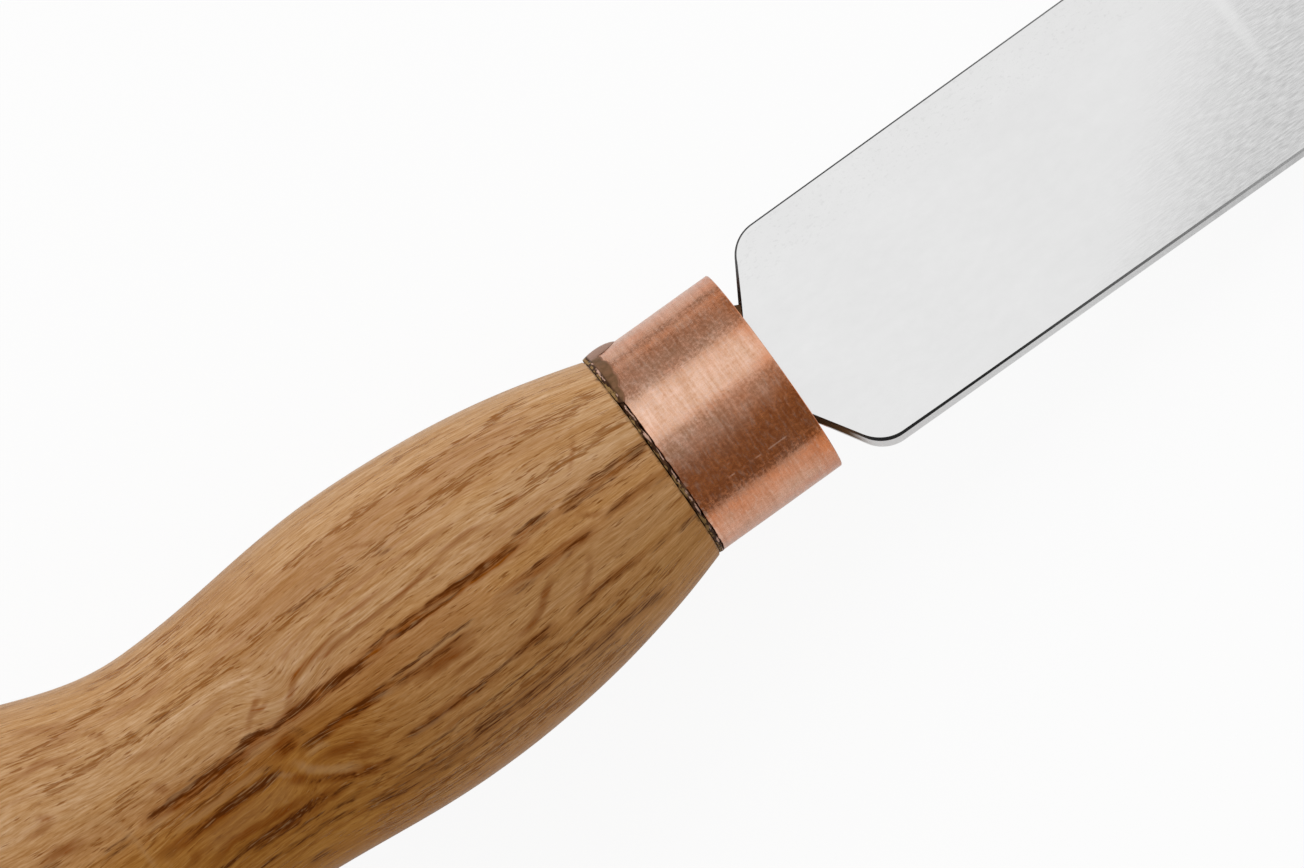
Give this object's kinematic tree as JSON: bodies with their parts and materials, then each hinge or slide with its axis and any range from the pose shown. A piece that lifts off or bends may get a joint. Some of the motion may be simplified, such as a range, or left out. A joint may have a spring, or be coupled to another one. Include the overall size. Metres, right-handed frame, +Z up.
{
  "type": "flat carving chisel",
  "caption": "Flat carving chisel with a straight polished steel blade, rounded shoulders, a copper tube ferrule and a turned oak palm handle.",
  "frame": {"origin": "centre of the small flat at the handle's butt, on the tool axis", "axes": "+X along the tool axis from the butt to the cutting edge, +Y across the blade, +Z up out of the blade's bevelled upper face"},
  "size_m": [0.1639, 0.034, 0.034],
  "materials": {
    "blade_steel": "satin polished, with fine grinding lines towards the bevel",
    "ferrule_copper": "copper tube, lightly abraded round its girth and along its length",
    "handle_oak": "oiled oak, satin, with open grain",
    "bedding_resin": "cured brown resin",
    "squeeze_out_resin": "cured dark resin with copper and wood dust in it"
  },
  "bodies": {
    "root": {"blade": "blade_steel", "ferrule": "ferrule_copper", "handle": "handle_oak", "tang_bedding": "bedding_resin", "ferrule_glue": "squeeze_out_resin"}
  },
  "joints": []
}
